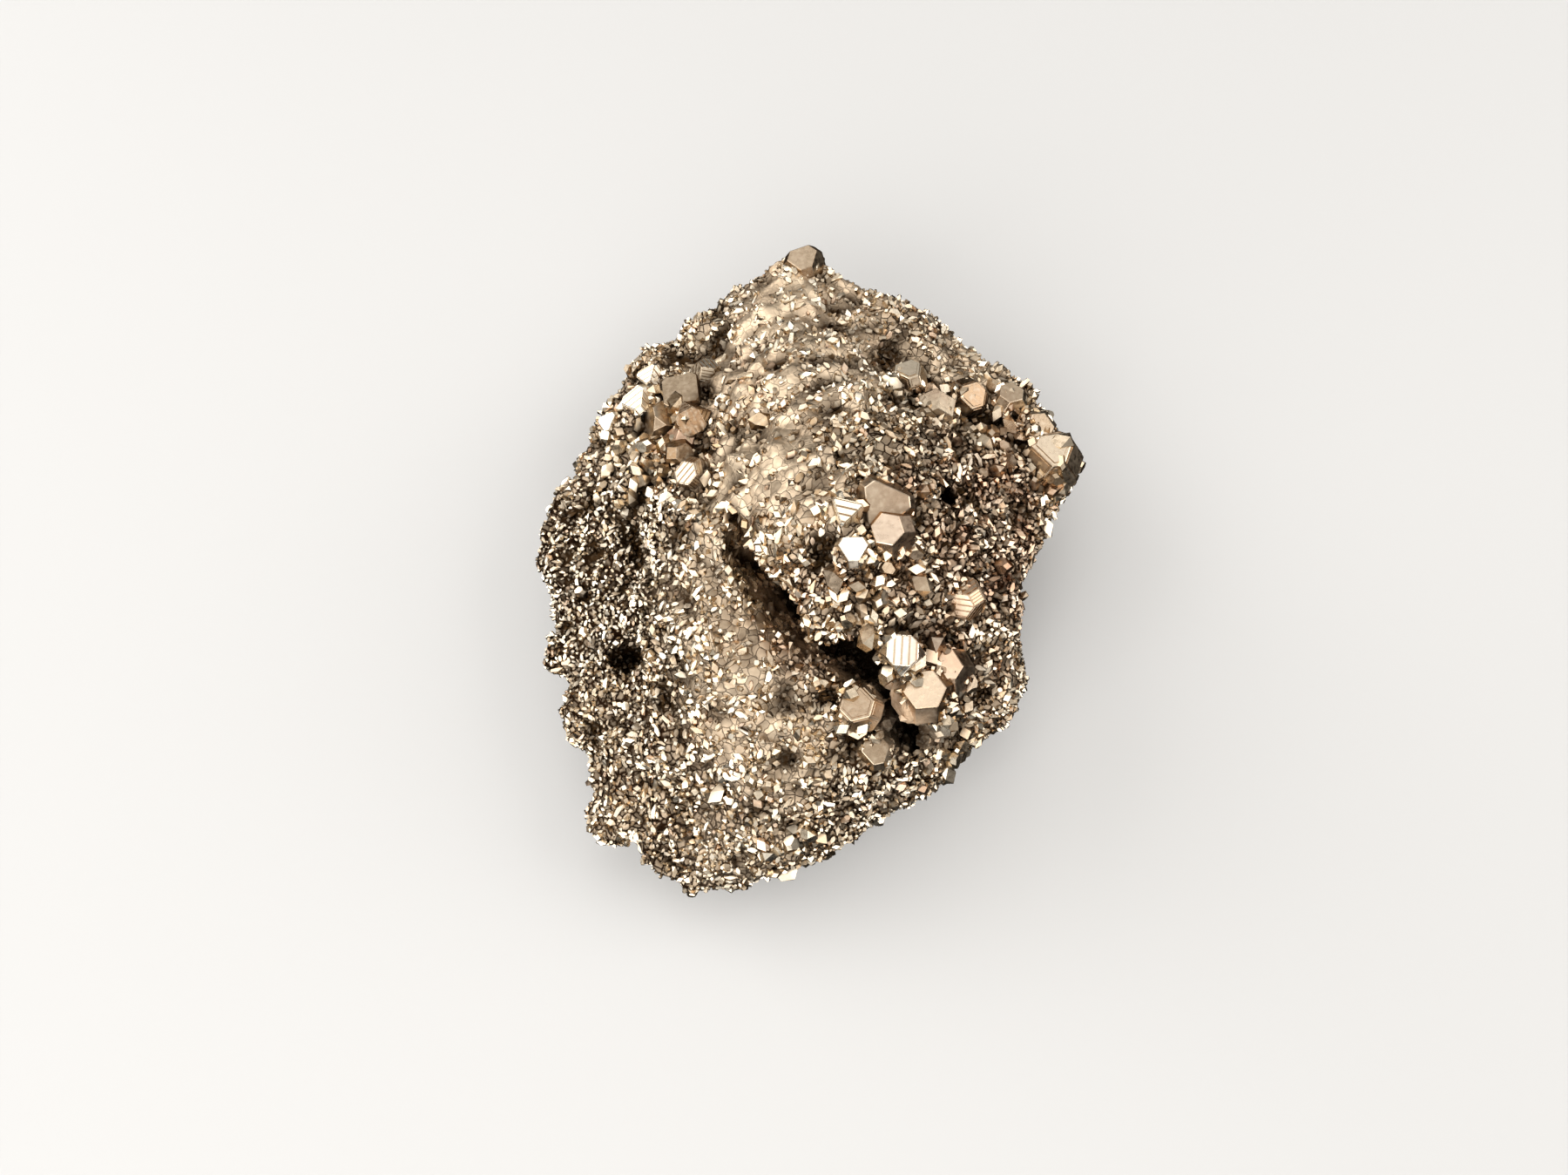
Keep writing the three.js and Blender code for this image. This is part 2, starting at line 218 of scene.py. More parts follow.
large_mesh = bpy.data.meshes.new("large_crystals")
whole.to_mesh(large_mesh)
box_map(large_mesh)
large_shape = bpy.data.objects.new("large_shape", large_mesh)
bpy.context.scene.collection.objects.link(large_shape)

# ------------------------------------------------------------------ the massive body
# The body is solid pyrite, iron sulphide that grew outwards from a seam in the host rock.
# Its skin is lumpy and knobbly, smooth and pale on the crest and on the far slope, and eaten
# into along the cleft. The crystals grew straight out of it, so nothing is fixed or glued.
SKIN_GRAIN = 0.38 * MM  # size of the squares that the skin is made of
SUNK = 0.35  # how far under a large crystal's bare faces the skin lies
# Patches of the skin: centre and reach on the plan in millimetres, how strong the patch is.
SMOOTH_SPOTS = [
    ((-8.0, -8.0), 7.0, 0.4),
    ((-5.0, -15.0), 8.0, 0.55),
    ((-3.5, -21.0), 8.0, 0.55),
    ((-6.0, -28.0), 7.0, 0.3),
    ((-4.0, 14.0), 8.0, 0.9),
    ((-6.0, 19.0), 8.0, 1.0),
    ((-1.0, 26.0), 8.0, 1.0),
    ((0.0, 32.0), 5.0, 1.0),
    ((-3.0, 2.0), 8.0, 0.85),
    ((1.0, -3.0), 6.0, 0.6),
    ((3.0, 11.0), 8.0, 0.7),
    ((4.0, 20.0), 7.0, 0.8),
    ((9.0, 19.0), 6.0, 0.6),
    ((5.0, 27.0), 6.0, 0.7),
    ((18.0, 19.0), 6.0, 0.5),
]
RED_SPOTS = [
    ((17.0, -2.0), 11.0, 1.0),
    ((17.0, 8.0), 10.0, 0.6),
    ((13.0, -12.0), 8.0, 0.6),
    ((2.0, -12.0), 6.0, 0.5),
]
COARSE_SPOTS = [
    # where medium crystals stand
    ((-14.0, 10.0), 9.0, 1.0),
    ((23.0, 9.0), 8.0, 1.0),
    ((10.0, -18.0), 8.0, 1.0),
    ((6.0, -8.0), 7.0, 0.7),
    ((-4.0, -30.0), 8.0, 0.5),
    ((12.0, 14.0), 7.0, 0.6),
]
BOLD_SPOTS = [
    # where the small crystals are fewer, larger and browner
    ((-3.0, 1.0), 9.0, 1.0),
    ((-5.0, 12.0), 8.0, 0.8),
    ((0.0, 22.0), 8.0, 0.4),
    ((-9.0, 8.0), 5.0, 0.8),
]
FINE_SPOTS = [
    # where they are smaller and packed closer
    ((-22.0, -4.0), 14.0, 1.0),
    ((-20.0, -18.0), 12.0, 0.5),
    ((-10.0, -30.0), 10.0, 0.4),
    ((8.0, -26.0), 8.0, 0.6),
]
CRACKED_SPOTS = [
    ((15.0, -3.0), 11.0, 1.0),
    ((9.0, 14.0), 6.0, 0.8),
    ((17.0, 6.0), 8.0, 0.8),
    ((-20.0, 0.0), 8.0, 0.6),
    ((-14.0, -12.0), 6.0, 0.5),
]
CRACK_APART, CRACK_DEEP = 2.6 * MM, 0.9 * MM
FILLED_SPOTS = [((-11.6, -27.0), 4.5, 1.0)]  # a pit grown nearly full again
FILLED_HIGH = 1.5 * MM
CLEFT_SPOTS = [
    ((-6.4, -4.8), 3.2, 1.0),
    ((-3.9, -9.8), 3.6, 1.0),
    ((-0.9, -13.0), 3.6, 1.0),
    ((2.6, -16.3), 3.6, 1.0),
    ((5.4, -19.4), 3.4, 1.0),
    ((6.9, -22.8), 3.0, 1.0),
    ((7.5, -20.6), 2.8, 1.0),
]
CLEFT_LEVEL, CLEFT_LEAN = 28 * MM, 0.27  # the cleft leans about this height, by this much
CLEFT_RIM, CLEFT_RIM_RISE = 22.6 * MM, 2.6 * MM  # the rim, and its rise at the lower branch
DARK_FLOOR, DARK_RISE = (11.5 * MM, 16 * MM), 9 * MM  # where painted shade makes it black, and how that rises
WAVE = 1.2 * MM  # how far the patches' outlines wander
FLANK = 2.0 * MM  # height over which the relief fades out towards the flat underside
FULL_WITHIN = 0.45  # the part of its reach over which a patch is at its strongest


class Wire:
    """A socket of a node tree that can stand in a sum."""

    def __init__(self, graph, socket):
        self.graph = graph
        self.socket = socket

    def maths(self, operation, *values):
        settings = {"operation": operation}
        return self.graph.add("ShaderNodeMath", settings, dict(enumerate(values)))[0]

    def __add__(self, other):
        return self.maths("ADD", self, other)

    def __sub__(self, other):
        return self.maths("SUBTRACT", self, other)

    def __rsub__(self, other):
        return self.maths("SUBTRACT", other, self)

    def __mul__(self, other):
        return self.maths("MULTIPLY", self, other)

    def __truediv__(self, other):
        return self.maths("DIVIDE", self, other)

    def __rtruediv__(self, other):
        return self.maths("DIVIDE", other, self)

    def __pow__(self, other):
        return self.maths("POWER", self, other)

    def __gt__(self, other):
        return self.maths("GREATER_THAN", self, other)

    def __lt__(self, other):
        return self.maths("LESS_THAN", self, other)

    __radd__ = __add__
    __rmul__ = __mul__


class Added:
    """A node that has been added, read by the name or number of its outputs."""

    def __init__(self, graph, node):
        self.graph = graph
        self.node = node

    def __getitem__(self, key):
        return Wire(self.graph, self.graph.find(self.node.outputs, key))


class Graph:
    """A node tree that is filled one node at a time."""

    def __init__(self, tree):
        self.tree = tree

    def find(self, sockets, key):
        if isinstance(key, int):
            return sockets[key]
        return next(s for s in sockets if s.enabled and key in (s.name, s.identifier))

    def add(self, kind, settings=None, values=None):
        node = self.tree.nodes.new(kind)
        for name, setting in (settings or {}).items():
            if name == "stops":
                ramp = node.color_ramp
                while len(ramp.elements) < len(setting):
                    ramp.elements.new(0.5)
                for element, (place, colour) in zip(ramp.elements, setting):
                    element.position = place
                    element.color = (*colour, 1)
            else:
                setattr(node, name, setting)
        for key, value in (values or {}).items():
            socket = self.find(node.inputs, key)
            if isinstance(value, Wire):
                self.tree.links.new(value.socket, socket)
            else:
                socket.default_value = value
        return Added(self, node)

    def soft_step(self, value, low, high):
        settings = {"interpolation_type": "SMOOTHSTEP"}
        span = {"Value": value, "From Min": low, "From Max": high}
        return self.add("ShaderNodeMapRange", settings, span)["Result"]

    def vector(self, operation, a, b, output="Vector"):
        key = "Scale" if operation == "SCALE" else 1
        return self.add("ShaderNodeVectorMath", {"operation": operation}, {0: a, key: b})[output]

    def noise(self, place, across, detail=2.0):
        values = {"Vector": place, "Scale": 1 / across, "Detail": detail}
        return self.add("ShaderNodeTexNoise", None, values)["Fac"]


class Recipe(Graph):
    """A Geometry Nodes tree with named inputs, which turns one mesh into another."""

    def __init__(self, name, inputs):
        super().__init__(bpy.data.node_groups.new(name, "GeometryNodeTree"))
        sides = self.tree.interface
        sides.new_socket("Geometry", in_out="INPUT", socket_type="NodeSocketGeometry")
        self.identifiers = {}
        for title, kind in {**inputs, "Material": "Material"}.items():
            socket = sides.new_socket(title, in_out="INPUT", socket_type="NodeSocket" + kind)
            self.identifiers[title] = socket.identifier
        sides.new_socket("Geometry", in_out="OUTPUT", socket_type="NodeSocketGeometry")
        self.given = self.add("NodeGroupInput")

    def store(self, geometry, name, value, domain="POINT", data_type="FLOAT"):
        settings = {"data_type": data_type, "domain": domain}
        values = {"Geometry": geometry, "Name": name, "Value": value}
        return self.add("GeometryNodeStoreNamedAttribute", settings, values)["Geometry"]

    def read(self, name, data_type="FLOAT"):
        settings = {"data_type": data_type}
        return self.add("GeometryNodeInputNamedAttribute", settings, {"Name": name})["Attribute"]

    def shape_of(self, title):
        return self.add("GeometryNodeObjectInfo", None, {"Object": self.given[title]})["Geometry"]

    def gap_to(self, shape):
        near = self.add("GeometryNodeProximity", {"target_element": "FACES"}, {0: shape})
        return near["Distance"] / MM

    def taken_from(self, shape, name):
        """What a named layer of a shape says at its nearest point."""
        values = {"Mesh": shape, "Value": self.read(name)}
        return self.add("GeometryNodeSampleNearestSurface", None, values)["Value"]

    def end(self, geometry):
        real = self.add("GeometryNodeRealizeInstances", None, {"Geometry": geometry})["Geometry"]
        values = {"Geometry": real, "Material": self.given["Material"]}
        made = self.add("GeometryNodeSetMaterial", None, values)["Geometry"]
        self.add("NodeGroupOutput", None, {"Geometry": made})

    def cook(self, source, name, **values):
        """Runs the tree on a copy of a mesh and returns the result as a plain object."""
        carrier = bpy.data.objects.new(name + "_carrier", source)
        bpy.context.scene.collection.objects.link(carrier)
        modifier = carrier.modifiers.new(name, "NODES")
        modifier.node_group = self.tree
        for title, identifier in self.identifiers.items():
            modifier[identifier] = values[title]
        seen = carrier.evaluated_get(bpy.context.evaluated_depsgraph_get())
        mesh = bpy.data.meshes.new_from_object(seen)
        mesh.name = name
        bpy.data.objects.remove(carrier)
        piece = bpy.data.objects.new(name, mesh)
        bpy.context.scene.collection.objects.link(piece)
        return piece


CLOUD, FLECK = 6.0 * MM, 0.45 * MM  # how wide the stained patches and the specks are
TARNISH = (0.46, 0.27, 0.17, 1)  # reddish, in patches
BLUSH = (0.80, 0.50, 0.33, 1)  # rosy, on single crystals
SPECK_HIGHLIGHT = (0.90, 0.79, 0.62, 1)  # painted highlight, in small bright specks
# brown oxide of the cleft's walls, painted lighter as light on the shaded near wall
CLEFT_OXIDE_LIT = (0.75, 0.52, 0.33, 1)
# painted shade in hollows and cracks
HOLLOW_SHADE = (0.06, 0.032, 0.013, 1)
# painted shade, black towards the cleft's floor
CLEFT_FLOOR_SHADE = (0.035, 0.02, 0.01, 1)
EDGE_ON = (0.22, 0.16, 0.11, 1)  # how much the metal darkens where it is seen edge-on
PACKED = 0.85 * MM  # width of the grains that the massive metal is packed of
STRAY_WIDTH, STRAY = 1.5 * MM, 0.9 * MM  # how the grains are bent out of shape
TILT = 0.4 * MM
CRYSTAL_RELIEF, MASSIVE_RELIEF = 0.02 * MM, 0.08 * MM


def pyrite(name, brass, shade, gloss, gap=None):
    """Brassy metal, brighter or browner by crystal and face, with painted shade in the gaps and
    hollows.

    A crystal's painted shade fades out between two heights over the skin, its gap. With no gap it
    is the massive metal of packed grains.
    """
    material = bpy.data.materials.new(name)
    material.use_nodes = True
    g = Graph(material.node_tree)
    g.tree.nodes.clear()

    def number(attribute):
        return g.add("ShaderNodeAttribute", {"attribute_name": attribute})["Fac"]

    def blend(share, a, b):
        values = {"Factor": share, "A": a, "B": b}
        return g.add("ShaderNodeMix", {"data_type": "RGBA"}, values)["Result"]

    place = g.add("ShaderNodeTexCoord")["Object"]
    cloud = g.noise(place, CLOUD, 3.0)
    fleck = g.noise(place, FLECK, 4.0)
    by_crystal = g.add("ShaderNodeValToRGB", {"stops": brass}, {"Fac": number("tint")})["Color"]
    red = number("red")
    stained = blend(red * g.soft_step(cloud, 0.35, 0.7), by_crystal, TARNISH)
    blushed = blend(number("rosy") * 0.8, stained, BLUSH)
    if gap:
        brightness_after_shade = g.soft_step(number("height"), *gap)
        height, relief = fleck, CRYSTAL_RELIEF
    else:
        # Packed grains, each with its own brightness and tilt, painted shade in their seams, more
        # where fine.
        smooth, fine = number("smooth"), number("fine")
        stray = g.add("ShaderNodeTexNoise", None, {"Vector": place, "Scale": 1 / STRAY_WIDTH})
        bent = g.vector("ADD", place, g.vector("SCALE", stray["Color"], STRAY))
        grains = {"Vector": bent, "Scale": 1 / PACKED}
        cells = g.add("ShaderNodeTexVoronoi", None, grains)
        own_way = g.add("ShaderNodeSeparateXYZ", None, {"Vector": cells["Color"]})["X"]
        edge = g.add("ShaderNodeTexVoronoi", {"feature": "DISTANCE_TO_EDGE"}, grains)["Distance"]
        wide = fine + red * 0.4 - smooth * 0.3
        inside = g.soft_step(edge, 0.01 + wide * 0.06, 0.11 + wide * 0.2)
        seam = 1 - (1 - inside) * (1 - smooth * 0.6)
        brightness_after_shade = (0.55 + smooth * 0.45 - fine * 0.25 + (own_way - 0.5) * 0.5) * seam
        across = g.vector("SCALE", g.vector("SUBTRACT", bent, cells["Position"]), 1 / TILT)
        facing = g.vector("SUBTRACT", cells["Color"], (0.5, 0.5, 0.5))
        tilted = g.vector("DOT_PRODUCT", across, facing, "Value")
        height, relief = fleck * 0.5 + seam + tilted * 2.0, MASSIVE_RELIEF
    # Painted shade: low on the crystals, between them, and in the grains' seams.
    light = blend(brightness_after_shade, (*shade, 1), blushed)
    # Brown oxide on the cleft's walls, painted lighter to stand for light on the shaded near wall.
    light = blend(number("cleft") * 0.8, light, CLEFT_OXIDE_LIT)
    # Painted shade in hollows and cracks.
    clear_of_hollow_shade = g.soft_step(number("cavity"), -1.1, 0.1)
    colour = blend(clear_of_hollow_shade, HOLLOW_SHADE, light)
    # Painted shade, black towards the cleft's floor.
    colour = blend(number("deep"), colour, CLEFT_FLOOR_SHADE)
    # Painted highlights: small bright specks, fewer where there is painted shade.
    highlighted = blend(g.soft_step(fleck, 0.45, 0.75) * brightness_after_shade * 0.25, colour, SPECK_HIGHLIGHT)
    rough = gloss[0] + (gloss[1] - gloss[0]) * g.soft_step(fleck, 0.3, 0.7) + (1 - clear_of_hollow_shade) * 0.2
    bump = g.add("ShaderNodeBump", None, {"Strength": 0.6, "Distance": relief, "Height": height})
    values = {
        "Base Color": highlighted,
        "Metallic": 1 - number("cleft") * 0.8,
        "Roughness": rough,
        "Normal": bump["Normal"],
        "Specular Tint": EDGE_ON,
    }
    metal = g.add("ShaderNodeBsdfPrincipled", None, values)["BSDF"]
    g.add("ShaderNodeOutputMaterial", None, {"Surface": metal})
    return material


def patch(g, place, spots):
    """How far a place lies inside the nearest of some round patches, from 0 to 1."""
    flat = g.vector("MULTIPLY", place, (1, 1, 0))
    share = None
    for (x, y), reach, most in spots:
        away = g.vector("DISTANCE", flat, (x * MM, y * MM, 0), "Value") / MM
        one = (1 - g.soft_step(away, FULL_WITHIN * reach, reach)) * most
        share = one if share is None else share.maths("MAXIMUM", share, one)
    return share


def welded(node):
    """The node's solid as one closed skin of even squares."""
    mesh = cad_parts[node].data.copy()
    bm = bmesh.new()
    bm.from_mesh(mesh)
    bmesh.ops.remove_doubles(bm, verts=bm.verts, dist=0.001 * MM)
    bm.to_mesh(mesh)
    bm.free()
    mesh.materials.clear()
    carrier = bpy.data.objects.new("skin_carrier", mesh)
    bpy.context.scene.collection.objects.link(carrier)
    remesh = carrier.modifiers.new("grains", "REMESH")
    remesh.mode = "VOXEL"
    remesh.voxel_size = SKIN_GRAIN
    remesh.use_smooth_shade = True
    seen = carrier.evaluated_get(bpy.context.evaluated_depsgraph_get())
    skin = bpy.data.meshes.new_from_object(seen)
    bpy.data.objects.remove(carrier)
    return skin


body_recipe = Recipe(
    "Knobbly skin",
    {
        "Large": "Object",
        "Knob Width": "Float",
        "Knob Height": "Float",
        "Lump Width": "Float",
        "Lump Depth": "Float",
        "Plate Width": "Float",
    },
)
g = body_recipe
place = g.add("GeometryNodeInputPosition")["Position"]
outward = g.add("GeometryNodeInputNormal")["Normal"]
xyz = g.add("ShaderNodeSeparateXYZ", None, {"Vector": place})
east, high = xyz["X"], xyz["Z"]

# Cracks run where a slow noise crosses its middle.
branch = g.noise(place, CRACK_APART, 3.0) - 0.5
cracks = 1 - g.soft_step(branch.maths("ABSOLUTE", branch), 0.0, 0.035)
skin = g.store(g.given["Geometry"], "crack", cracks * patch(g, place, CRACKED_SPOTS))
drift = g.add("ShaderNodeTexNoise", None, {"Vector": place, "Scale": 300.0})["Color"]
wavy = g.vector("ADD", place, g.vector("SCALE", drift, WAVE))
SPOTS = {
    "smooth": SMOOTH_SPOTS,
    "red": RED_SPOTS,
    "fine": FINE_SPOTS,
    "bold": BOLD_SPOTS,
    "coarse": COARSE_SPOTS,
}
for layer_name, spots in SPOTS.items():
    skin = g.store(skin, layer_name, patch(g, wavy, spots))
smooth, crack = g.read("smooth"), g.read("crack")

# Rounded knobs, lower where the skin is smooth.
rounded = {"Vector": wavy, "Scale": 1 / g.given["Knob Width"], "Smoothness": 0.25}
knob = 0.42 - g.add("ShaderNodeTexVoronoi", {"feature": "SMOOTH_F1"}, rounded)["Distance"]
skin = g.store(skin, "knob", knob * (1 - smooth * 0.5))
knob = g.read("knob")
filled = patch(g, place, FILLED_SPOTS)

# Hollows lie below the skin's own average, bumps above it. Hollows and cracks get painted shade,
# knobs less.
settings = {"data_type": "FLOAT_VECTOR"}
average = g.add("GeometryNodeBlurAttribute", settings, {"Value": place, "Iterations": 60})["Value"]
above = g.vector("SUBTRACT", place, average)
cavity = g.vector("DOT_PRODUCT", above, outward, "Value") / (0.6 * MM)
skin = g.store(skin, "cavity", cavity - crack * 1.6 + knob * 1.8 + filled)

# The cleft leans, and painted shade makes it black towards its floor.
lean = (high - CLEFT_LEVEL) * CLEFT_LEAN
leaned = g.add("ShaderNodeCombineXYZ", None, {"X": lean, "Y": lean})["Vector"]
rim = CLEFT_RIM + g.soft_step(east, 5.5 * MM, 7 * MM) * CLEFT_RIM_RISE
in_cleft = patch(g, g.vector("ADD", place, leaned), CLEFT_SPOTS) * (high < rim)
skin = g.store(skin, "cleft", in_cleft)
shelf = g.soft_step(east, -1 * MM, 7 * MM) * DARK_RISE
skin = g.store(skin, "deep", in_cleft * (1 - g.soft_step(high - shelf, *DARK_FLOOR)))

# Plates part at seams, and each has its own hue.
plates = {"Vector": wavy, "Scale": 1 / g.given["Plate Width"]}
seams = g.add("ShaderNodeTexVoronoi", {"feature": "DISTANCE_TO_EDGE"}, plates)["Distance"]
skin = g.store(skin, "seam", seams)
sunk = (g.soft_step(g.read("seam"), 0.0, 0.12) - 1) * smooth * 0.25 * MM

# Small lumps and a ripple over them.
lumps = g.add("ShaderNodeTexVoronoi", None, {"Vector": place, "Scale": 1 / g.given["Lump Width"]})
ripple = g.noise(place, 0.42 * MM)
raised = 0.45 - lumps["Distance"] + (ripple - 0.5) * 0.9
raised = raised * (1 - smooth * 0.5) * g.given["Lump Depth"]
raised = raised + knob * g.given["Knob Height"] + filled * FILLED_HIGH

# The skin draws back under the bare faces of the large crystals.
large_near = g.shape_of("Large")
gap = g.gap_to(large_near)
clear = (1 - g.soft_step(gap, 0.7, 1.2)) * g.soft_step(g.taken_from(large_near, "bare"), -0.15, 0.0)
moved = (raised + sunk) * (1 - clear) - clear * (gap + SUNK) * MM - crack * CRACK_DEEP
moved = moved * g.soft_step(high, 0.05 * MM, FLANK)
offset = {"Geometry": skin, "Offset": g.vector("SCALE", outward, moved)}
skin = g.add("GeometryNodeSetPosition", None, offset)["Geometry"]
colours = g.add("ShaderNodeTexVoronoi", None, plates)["Color"]
hue = g.add("FunctionNodeSeparateColor", None, {"Color": colours})["Green"]
g.end(g.store(skin, "tint", 0.45 + hue * 0.3 + smooth * 0.15))

massive = pyrite(
    "massive_pyrite",
    brass=[(0.0, (0.54, 0.40, 0.26)), (0.5, (0.77, 0.59, 0.41)), (1.0, (0.87, 0.70, 0.50))],
    shade=(0.020, 0.009, 0.004),
    gloss=(0.42, 0.62),
)
knobbly = {
    "Large": large_shape,
    "Knob Width": 2.6 * MM,
    "Knob Height": 0.95 * MM,
    "Lump Width": 1.1 * MM,
    "Lump Depth": 0.24 * MM,
    "Plate Width": 3.6 * MM,
    "Material": massive,
}
body = body_recipe.cook(welded("pyrite_cluster"), "pyrite_body", **knobbly)
box_map(body.data)
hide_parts("pyrite_cluster")
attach(body, "root")


def crust_depth(g, geometry, size):
    """Stores how far each point stands off the body for its size, which sets its painted shade
    (less on smooth patches), and how the body is there.
    """
    base = g.shape_of("Body")
    geometry = g.store(geometry, "height", g.gap_to(base) / size + g.read("smooth") * 0.07)
    for name in ("cavity", "red", "cleft", "deep"):
        geometry = g.store(geometry, name, g.taken_from(base, name))
    return geometry


# ------------------------------------------------------------------ the large crystals' finish
# Their faces are cleaner and brighter than the crust, each face a little different, and each
# crystal has painted shade where it dips under the crust.
LARGE_SIZE = 3.0  # millimetres, as the crust measures depth
own_faces = Recipe("Depth in the crust", {"Body": "Object"})
g = own_faces
g.end(crust_depth(g, g.given["Geometry"], LARGE_SIZE))
bright = pyrite(
    "bright_crystal_faces",
    brass=[
        (0.0, (0.20, 0.12, 0.06)),
        (0.35, (0.53, 0.40, 0.27)),
        (0.7, (0.80, 0.67, 0.50)),
        (1.0, (0.95, 0.87, 0.73)),
    ],
    shade=(0.10, 0.055, 0.025),
    gloss=(0.24, 0.38),
    gap=(0.02, 0.1),
)
large = own_faces.cook(large_mesh, "large_crystals", Body=body, Material=bright)
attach(large, "root")

# ------------------------------------------------------------------ the crust of small crystals
# Tens of thousands of crystals under two millimetres cover the body like sugar on a sweet.
# They are cubes, octahedra and forms between the two, half sunk in the body and each other.
# Neighbours within a few millimetres often lie the same way, so they flash together.
SMALL_SHAPES = [
    # how far the tips are cut, stretch along the three axes
    (0.50, (1.50, 0.75, 0.80)),
    (0.50, (1.10, 0.85, 0.80)),
    (0.98, (1.50, 0.90, 1.00)),
    (0.50, (1.90, 0.65, 0.60)),
    (0.98, (1.10, 1.10, 0.90)),
    (0.36, (1.10, 0.60, 0.60)),
]
MEDIUM_SHAPES = [
    (0.46, (0.80, 0.60, 0.70)),
    (0.50, (1.30, 0.80, 0.90)),
    (0.70, (1.30, 0.90, 1.00)),
]
MOST_CROWDED = 9e6  # points tried on a square metre
MOSTLY_SMALL = 1.6  # above 1 the small sizes are the more common
ROUND = 2 * math.pi
UPWARD = (0.0, 0.0, 1.0)
LEFTWARD = (-0.44, -0.01, 0.90)
RIGHTWARD = (0.48, -0.14, 0.87)
NEARWARD = (0.05, -0.62, 0.785)
CELL_FILL = 0.94  # how much of its cell in the map a crystal takes up


def face_map(mesh):
    """A map with each face in a cell of its own."""
    layer = mesh.uv_layers.new(name="OFBake")
    across = math.ceil(math.sqrt(len(mesh.polygons)))
    for k, face in enumerate(mesh.polygons):
        for n, loop in enumerate(face.loop_indices):
            angle = ROUND * n / face.loop_total
            u = 0.5 + 0.45 * math.cos(angle) + k % across
            v = 0.5 + 0.45 * math.sin(angle) + k // across
            layer.uv[loop].vector = (u / across, v / across)


def forms(name, shapes):
    """A collection of crystals one unit across, with their maps."""
    group = bpy.data.collections.new(name)
    for k, (cut, stretch) in enumerate(shapes):
        bm = cut_octahedron(1.0, cut, stretch)
        mesh = bpy.data.meshes.new(f"{name}_{k}")
        bm.to_mesh(mesh)
        face_map(mesh)
        group.objects.link(bpy.data.objects.new(mesh.name, mesh))
    return group


crust = Recipe(
    "Crust of crystals",
    {
        "Body": "Object",
        "Large": "Object",
        "Forms": "Collection",
        "Kinds": "Int",
        "Spacing": "Float",
        "Smallest": "Float",
        "Largest": "Float",
        "Bareness": "Float",
        "Coarseness": "Float",
        "From Heading": "Float",
        "To Heading": "Float",
        "Seed": "Int",
    },
)
g = crust


def chance_of(low, high, seed, kind="FLOAT"):
    """A random value for each point, between two limits."""
    values = {"Min": low, "Max": high, "Seed": g.given["Seed"] + seed}
    return g.add("FunctionNodeRandomValue", {"data_type": kind}, values)["Value"]


# Fewer stand on smooth plates, though their seams keep most, and next to none in the cleft.
smooth, fine, bold = g.read("smooth"), g.read("fine"), g.read("bold")
seam = 1 - g.soft_step(g.read("seam"), 0.06, 0.22)
crowding = (1 - g.read("crack") * 0.9) * (1 - g.read("cleft") * 0.96)
crowding = crowding * (1 - bold * 0.45) * (0.74 + fine * 0.26)
crowding = crowding * (1 - smooth * g.given["Bareness"] * (1 - seam * 0.75))
crowding = crowding * (1 - (1 - g.read("coarse")) * g.given["Coarseness"])
spots = g.add(
    "GeometryNodeDistributePointsOnFaces",
    {"distribute_method": "POISSON"},
    {
        "Mesh": g.given["Geometry"],
        "Distance Min": g.given["Spacing"],
        "Density Max": MOST_CROWDED,
        "Density Factor": crowding,
        "Seed": g.given["Seed"],
    },
)
# None stand outside this piece's headings, on a large crystal's bare faces, or so low that they
# would reach below the underside.
place = g.add("GeometryNodeInputPosition")["Position"]
xyz = g.add("ShaderNodeSeparateXYZ", None, {"Vector": place})
heading = xyz["X"].maths("ARCTAN2", xyz["Y"], xyz["X"])
outside = (heading < g.given["From Heading"]) + (heading > g.given["To Heading"])
large_near = g.shape_of("Large")
touching = g.gap_to(large_near) < 0.35 + g.given["Smallest"] / MM * 0.3
on_large = touching * (g.taken_from(large_near, "bare") > 0.0)
low = xyz["Z"] < g.given["Largest"] * 0.85
unwanted = {"Geometry": spots["Points"], "Selection": outside + on_large + low}
kept = g.add("GeometryNodeDeleteGeometry", None, unwanted)["Geometry"]

share = chance_of(0.0, 1.0, 1) ** MOSTLY_SMALL
size = g.given["Smallest"] + (g.given["Largest"] - g.given["Smallest"]) * share
size = size * (1 - fine * 0.25 + bold * 0.2)
lift = g.vector("SCALE", spots["Normal"], size * (0.15 - smooth * 0.25))
raised = g.add("GeometryNodeSetPosition", None, {"Geometry": kept, "Offset": lift})["Geometry"]
sized = g.store(raised, "size", size / MM)


def either(first, second, test, kind="VECTOR"):
    """The first where the test is false, the second where it is true."""
    values = {"Switch": test, "False": first, "True": second}
    return g.add("GeometryNodeSwitch", {"input_type": kind}, values)["Output"]


# Many lie as their neighbours do, and the rest lie anyhow.
family = g.add("ShaderNodeTexVoronoi", None, {"Vector": place, "Scale": 380.0})["Color"]
wobble = chance_of((-0.3, -0.3, -0.3), (0.3, 0.3, 0.3), 2, "FLOAT_VECTOR")
alike = g.vector("ADD", g.vector("SCALE", family, ROUND), wobble)
free = chance_of((0.0, 0.0, 0.0), (6.28, 6.28, 6.28), 3, "FLOAT_VECTOR")
tumbled = either(alike, free, chance_of(0.0, 1.0, 4) > 0.45)
tumbled = g.add("FunctionNodeEulerToRotation", None, {"Euler": tumbled})["Rotation"]

